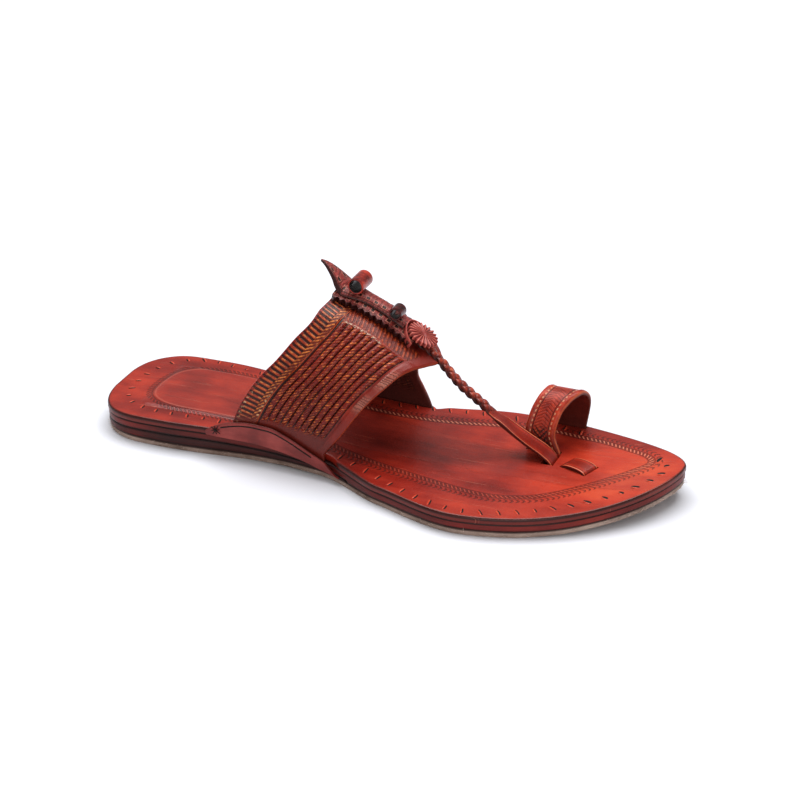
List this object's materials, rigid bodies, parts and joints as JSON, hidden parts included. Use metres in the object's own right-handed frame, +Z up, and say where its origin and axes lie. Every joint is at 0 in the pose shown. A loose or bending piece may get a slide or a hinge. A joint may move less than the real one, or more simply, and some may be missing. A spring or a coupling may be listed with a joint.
{
  "type": "kolhapuri sandal",
  "caption": "Flat layered leather sandal for the right foot: tooled instep band with corded panels, braided toe thong, toe ring and fluted rosette.",
  "frame": {"origin": "centre of the plan bounding box on the floor plane", "axes": "+X from the heel to the toe, +Y to the medial (big toe) side, +Z up"},
  "size_m": [0.27, 0.1012, 0.088],
  "materials": {
    "tread_leather": "rough tan sole leather with a fibrous cut edge",
    "stacked_leather": "red-brown dyed and burnished edges",
    "insole_leather": "vegetable-tanned, dyed orange-red to maroon, oiled and half gloss, tooled border",
    "strap_leather": "dyed red-orange, tooled, half gloss",
    "trim_leather": "dyed dark maroon, half gloss"
  },
  "bodies": {
    "root": {"outsole": "tread_leather", "heel_lift": "stacked_leather", "midsole": "stacked_leather", "insole": "insole_leather", "side_flap_lateral": "trim_leather", "side_flap_medial": "trim_leather", "upper": "strap_leather", "toe_ring": "strap_leather", "thong_tab": "strap_leather", "pinked_strip": "trim_leather", "tail_strip": "trim_leather", "bead_back": "trim_leather", "bead_front": "trim_leather", "rosette": "trim_leather"}
  },
  "joints": []
}
